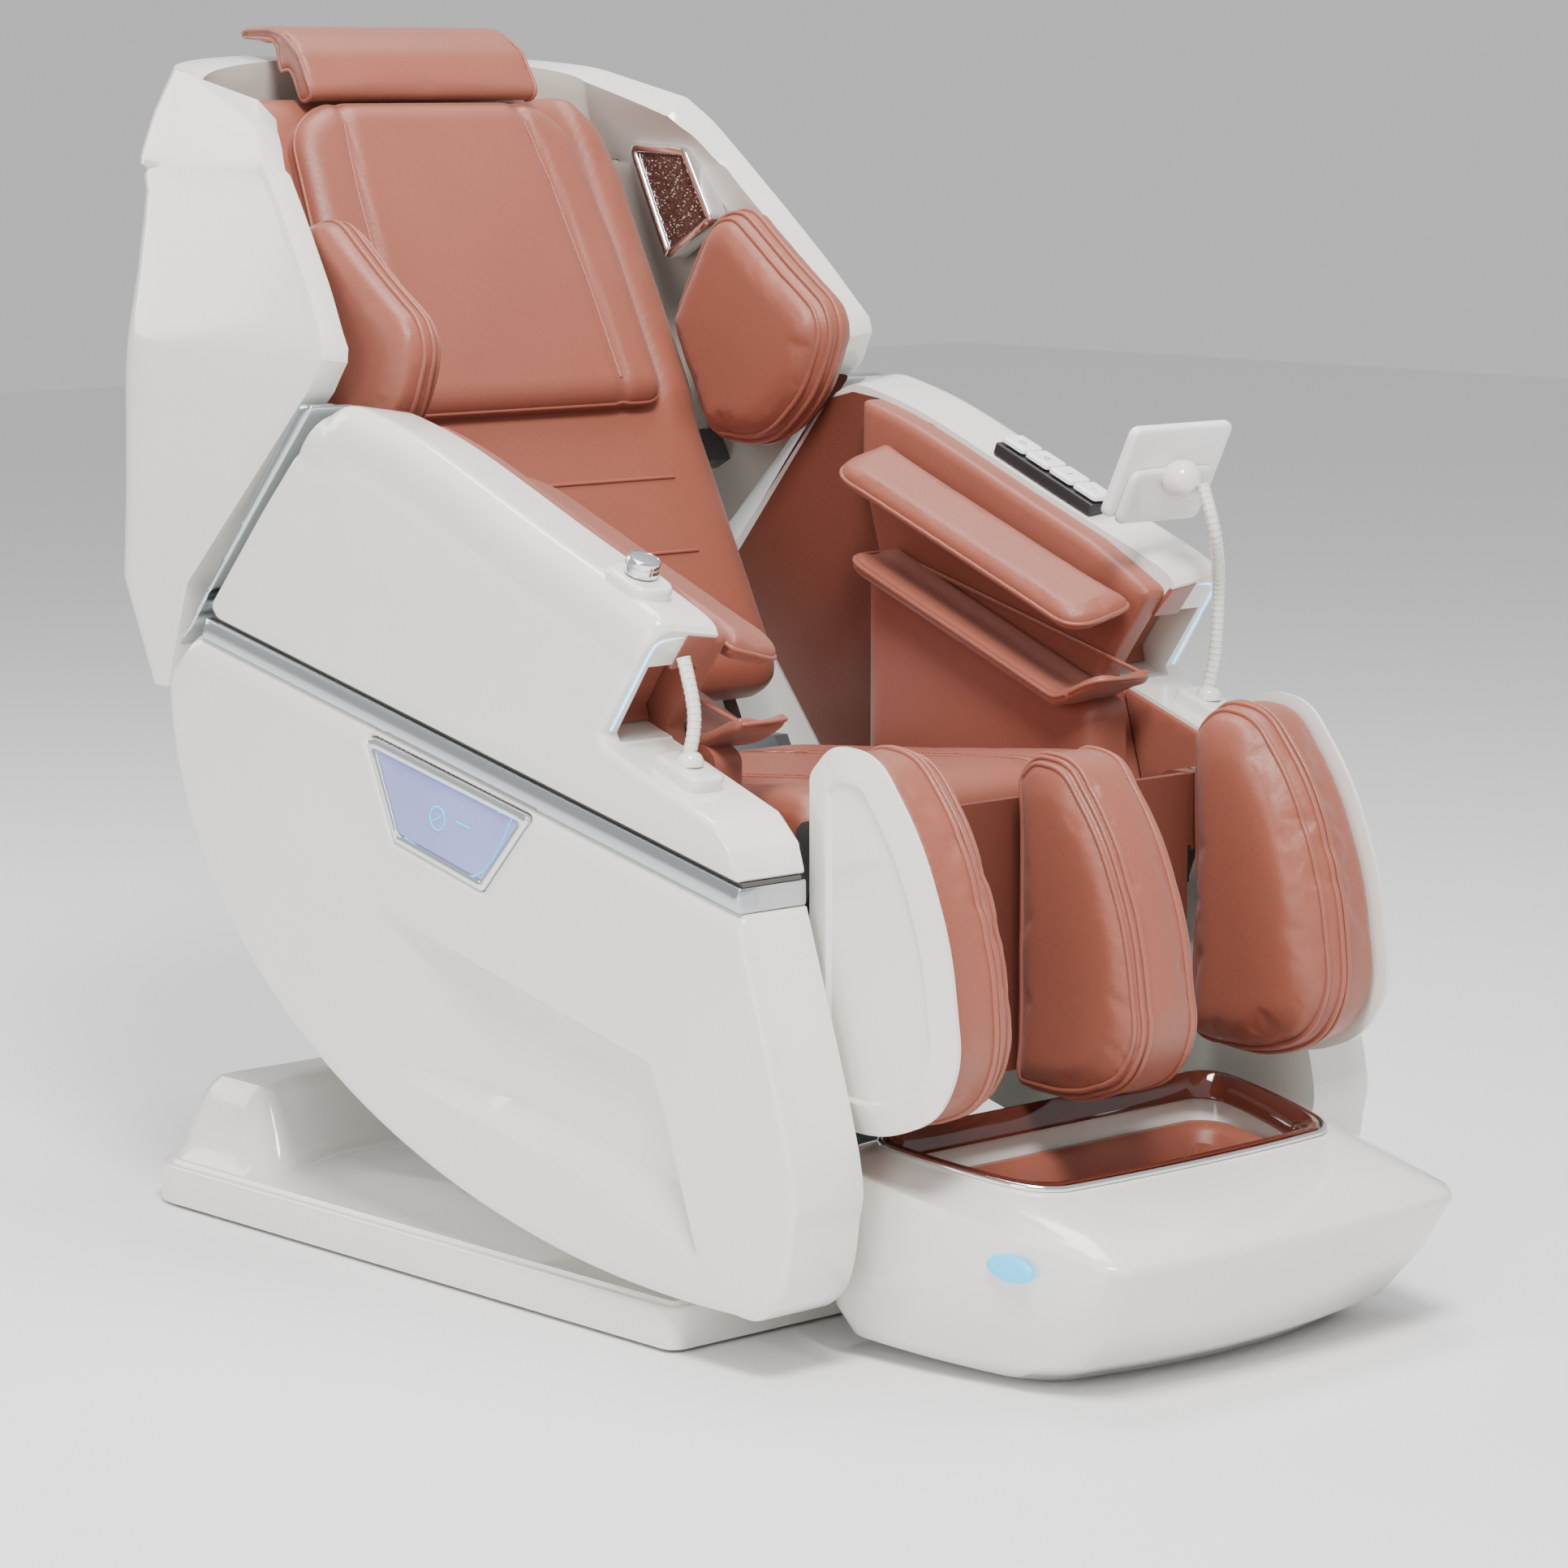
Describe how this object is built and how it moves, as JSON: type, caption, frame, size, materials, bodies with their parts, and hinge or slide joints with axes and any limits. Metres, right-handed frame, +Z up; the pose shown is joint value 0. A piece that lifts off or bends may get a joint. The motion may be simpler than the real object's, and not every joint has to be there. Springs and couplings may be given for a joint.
{
  "type": "massage chair",
  "caption": "Full-body massage chair with a reclining hooded back, rocker side panels, forearm flaps, a lifting legrest and a foot box",
  "frame": {"origin": "centre of the chair's overall footprint, on the floor", "axes": "+Z up, the chair faces -Y, +X is the sitter's left"},
  "size_m": [0.82, 1.485, 1.28],
  "materials": {
    "white_shell": "gloss",
    "leather": "satin",
    "satin_trim": "satin",
    "steel": "satin",
    "black_plastic": "matte",
    "display": "gloss",
    "speaker": "gloss",
    "rubber": "matte",
    "key_white": "gloss"
  },
  "bodies": {
    "base": {"base_cover": "white_shell", "base_frame": "steel", "power_inlet": "black_plastic"},
    "wheel_left": {"transport_wheel_left": "rubber"},
    "wheel_right": {"transport_wheel_right": "rubber"},
    "carriage": {"slide_carriage": "steel"},
    "cabin": {"seat_frame": "steel", "seat_cushion": "leather", "side_panel_left": "white_shell", "side_panel_right": "white_shell", "trim_strip_left": "satin_trim", "trim_strip_right": "satin_trim", "arm_shell_left": "white_shell", "arm_shell_right": "white_shell", "arm_band_left": "satin_trim", "arm_band_right": "satin_trim", "display_left": "display", "display_right": "display", "arm_liner_left": "leather", "arm_liner_right": "leather", "control_box": "black_plastic", "air_pump": "black_plastic", "recline_actuator": "black_plastic", "leg_actuator": "black_plastic", "key_deck": "black_plastic", "phone_neck": "white_shell", "tablet_neck": "white_shell"},
    "flap_left": {"forearm_flap_left": "leather"},
    "flap_right": {"forearm_flap_right": "leather"},
    "dial": {"control_dial": "satin_trim"},
    "key_1": {"key_1": "key_white"},
    "key_2": {"key_2": "key_white"},
    "key_3": {"key_3": "key_white"},
    "key_4": {"key_4": "key_white"},
    "tablet_head": {"tablet_cradle": "white_shell", "tablet": "white_shell"},
    "recline_rod": {"recline_rod": "steel"},
    "leg_rod": {"leg_rod": "steel"},
    "backrest": {"back_frame": "steel", "back_shell": "white_shell", "back_cushion": "leather", "centre_pad": "leather", "shoulder_pad_left": "leather", "shoulder_pad_right": "leather", "speaker_left": "speaker", "speaker_right": "speaker"},
    "pillow": {"head_pillow": "leather"},
    "massage": {"massage_carriage": "steel"},
    "kneader_left": {"kneading_roller_left": "black_plastic"},
    "kneader_right": {"kneading_roller_right": "black_plastic"},
    "legrest": {"leg_frame": "steel", "calf_cushion_left": "leather", "calf_cushion_centre": "leather", "calf_cushion_right": "leather", "leg_shell_left": "white_shell", "leg_shell_right": "white_shell"},
    "footrest": {"foot_box": "white_shell", "foot_liner": "leather"},
    "foot_roller_left": {"foot_roller_left": "black_plastic"},
    "foot_roller_right": {"foot_roller_right": "black_plastic"}
  },
  "joints": [
    {"name": "base_slide", "type": "slide", "parent": "base", "child": "carriage", "axis": [0, -1, 0], "range_m": [0, 0.12]},
    {"name": "cabin_tilt", "type": "hinge", "parent": "carriage", "child": "cabin", "pos_m": [0, 0.0575, 0.25], "axis": [-1, 0, 0], "range_deg": [0, 15]},
    {"name": "backrest_recline", "type": "hinge", "parent": "cabin", "child": "backrest", "pos_m": [0, 0.2575, 0.42], "axis": [-1, 0, 0], "range_deg": [0, 30]},
    {"name": "leg_lift", "type": "hinge", "parent": "cabin", "child": "legrest", "pos_m": [0, -0.3425, 0.5], "axis": [-1, 0, 0], "range_deg": [0, 75]},
    {"name": "foot_extension", "type": "slide", "parent": "legrest", "child": "footrest", "axis": [0, 0, -1], "range_m": [0, 0.12]},
    {"name": "massage_travel", "type": "slide", "parent": "backrest", "child": "massage", "axis": [0, 0.454, 0.891], "range_m": [0, 0.3]},
    {"name": "kneader_left_spin", "type": "hinge", "parent": "massage", "child": "kneader_left", "pos_m": [0.068, 0.42794, 0.60252], "axis": [1, 0, 0], "continuous": true},
    {"name": "kneader_right_spin", "type": "hinge", "parent": "massage", "child": "kneader_right", "pos_m": [-0.068, 0.42794, 0.60252], "axis": [1, 0, 0], "continuous": true},
    {"name": "pillow_flip", "type": "hinge", "parent": "backrest", "child": "pillow", "pos_m": [0, 0.7285, 1.272], "axis": [-1, 0, 0], "range_deg": [0, 120]},
    {"name": "flap_left_lift", "type": "hinge", "parent": "cabin", "child": "flap_left", "pos_m": [0.2715, -0.0475, 0.74692], "axis": [0, 0.9329, 0.3601], "range_deg": [0, 30]},
    {"name": "flap_right_lift", "type": "hinge", "parent": "cabin", "child": "flap_right", "pos_m": [-0.2715, -0.0475, 0.74692], "axis": [0, -0.9329, -0.3601], "range_deg": [0, 30]},
    {"name": "dial_turn", "type": "hinge", "parent": "cabin", "child": "dial", "pos_m": [-0.365, -0.1935, 0.74336], "axis": [0, -0.3665, 0.9304], "continuous": true},
    {"name": "key_1_press", "type": "slide", "parent": "cabin", "child": "key_1", "axis": [0, 0.3761, -0.9266], "range_m": [0, 0.002], "stiffness_N_per_m": 600},
    {"name": "key_2_press", "type": "slide", "parent": "cabin", "child": "key_2", "axis": [0, 0.3761, -0.9266], "range_m": [0, 0.002], "stiffness_N_per_m": 600},
    {"name": "key_3_press", "type": "slide", "parent": "cabin", "child": "key_3", "axis": [0, 0.3761, -0.9266], "range_m": [0, 0.002], "stiffness_N_per_m": 600},
    {"name": "key_4_press", "type": "slide", "parent": "cabin", "child": "key_4", "axis": [0, 0.3761, -0.9266], "range_m": [0, 0.002], "stiffness_N_per_m": 600},
    {"name": "tablet_tilt", "type": "hinge", "parent": "cabin", "child": "tablet_head", "pos_m": [0.317, -0.2675, 0.812], "axis": [1, 0, 0], "range_deg": [-20, 20]},
    {"name": "recline_rod_slide", "type": "slide", "parent": "cabin", "child": "recline_rod", "axis": [0, -1, 0], "range_m": [0, 0.0535]},
    {"name": "leg_rod_slide", "type": "slide", "parent": "cabin", "child": "leg_rod", "axis": [0, -1, 0], "range_m": [0, 0.172]},
    {"name": "foot_roller_left_spin", "type": "hinge", "parent": "footrest", "child": "foot_roller_left", "pos_m": [0.11, -0.476, 0.0575], "axis": [1, 0, 0], "continuous": true},
    {"name": "foot_roller_right_spin", "type": "hinge", "parent": "footrest", "child": "foot_roller_right", "pos_m": [-0.11, -0.476, 0.0575], "axis": [1, 0, 0], "continuous": true},
    {"name": "wheel_left_spin", "type": "hinge", "parent": "base", "child": "wheel_left", "pos_m": [0.335, 0.5605, 0.028], "axis": [1, 0, 0], "continuous": true},
    {"name": "wheel_right_spin", "type": "hinge", "parent": "base", "child": "wheel_right", "pos_m": [-0.335, 0.5605, 0.028], "axis": [1, 0, 0], "continuous": true}
  ],
  "couplings": [
    {"joint": "recline_rod_slide", "follows": "backrest_recline", "m_per_rad": 0.0985},
    {"joint": "leg_rod_slide", "follows": "leg_lift", "m_per_rad": 0.1291},
    {"joint": "kneader_right_spin", "follows": "kneader_left_spin", "ratio": 1},
    {"joint": "foot_roller_right_spin", "follows": "foot_roller_left_spin", "ratio": 1}
  ]
}
